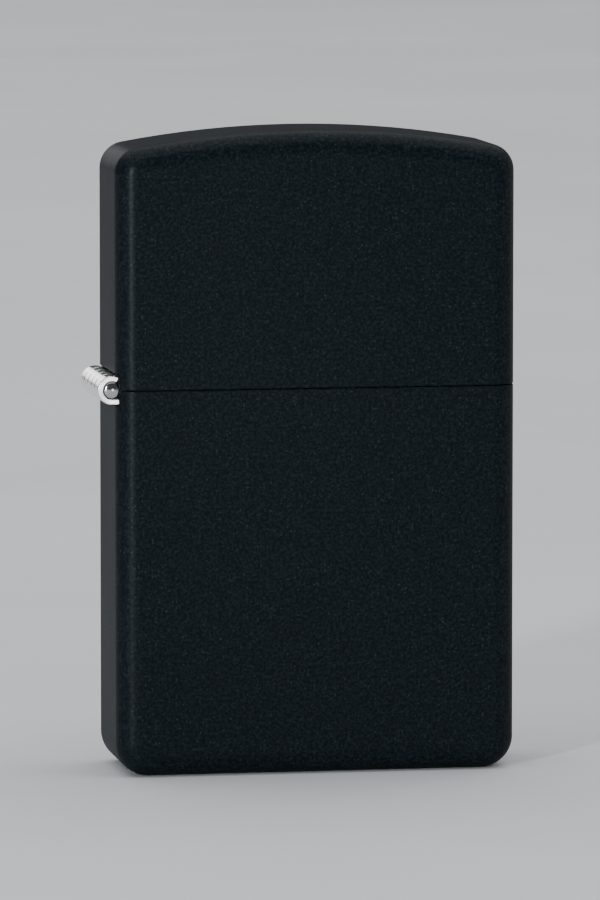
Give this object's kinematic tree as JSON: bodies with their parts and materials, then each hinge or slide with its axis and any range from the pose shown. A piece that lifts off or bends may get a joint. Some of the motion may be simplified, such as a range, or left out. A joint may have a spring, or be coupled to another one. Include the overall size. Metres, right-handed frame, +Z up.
{
  "type": "flip-top petrol lighter",
  "caption": "Closed matte black flip-top windproof petrol lighter with a bright side hinge and a full insert: tank, wick, spark wheel, flint and cam.",
  "frame": {"origin": "middle of the flat bottom face that the lighter stands on", "axes": "+Z up through the lid, front broad face towards -Y, lid hinge on the -X side"},
  "size_m": [0.0374, 0.0126, 0.0571],
  "materials": {
    "black_coat": "matte",
    "nickel": "polished",
    "stainless": "brushed",
    "brass": "satin",
    "flint_alloy": "matte",
    "spring_steel": "satin",
    "tool_steel": "satin",
    "wick_cotton": "matte",
    "cotton": "matte",
    "felt": "matte"
  },
  "bodies": {
    "case": {"case_bottom": "black_coat", "hinge_leaf_case": "nickel", "hinge_pin": "nickel", "insert_tank": "stainless", "chimney": "stainless", "flint_tube": "brass", "flint_screw": "brass", "flint_spring": "spring_steel", "wheel_axle": "stainless", "cam_rivet": "stainless", "cam_spring": "spring_steel", "cam_spring_rivet": "stainless", "wick": "wick_cotton", "cotton_packing": "cotton", "felt_pad": "felt"},
    "lid": {"lid": "black_coat", "hinge_leaf_lid": "nickel"},
    "cam": {"cam": "stainless"},
    "spark_wheel": {"flint_wheel": "tool_steel"},
    "flint_stack": {"flint": "flint_alloy", "flint_plunger": "brass"}
  },
  "joints": [
    {"name": "lid_hinge", "type": "hinge", "parent": "case", "child": "lid", "pos_m": [-0.01825, 0, 0.0344], "axis": [0, -1, 0], "range_deg": [0, 125]},
    {"name": "cam_pivot", "type": "hinge", "parent": "case", "child": "cam", "pos_m": [-0.01325, 0, 0.038], "axis": [0, -1, 0], "range_deg": [0, 25]},
    {"name": "wheel_spin", "type": "hinge", "parent": "case", "child": "spark_wheel", "pos_m": [0.00905, 0, 0.0443], "axis": [0, 1, 0], "continuous": true},
    {"name": "flint_feed", "type": "slide", "parent": "case", "child": "flint_stack", "axis": [0, 0, 1], "range_m": [-0.0012, 0], "stiffness_N_per_m": 170, "springref_m": 0.008, "deforming": ["flint_spring"]}
  ],
  "couplings": [
    {"joint": "cam_pivot", "follows": "lid_hinge", "ratio": 0.2}
  ]
}
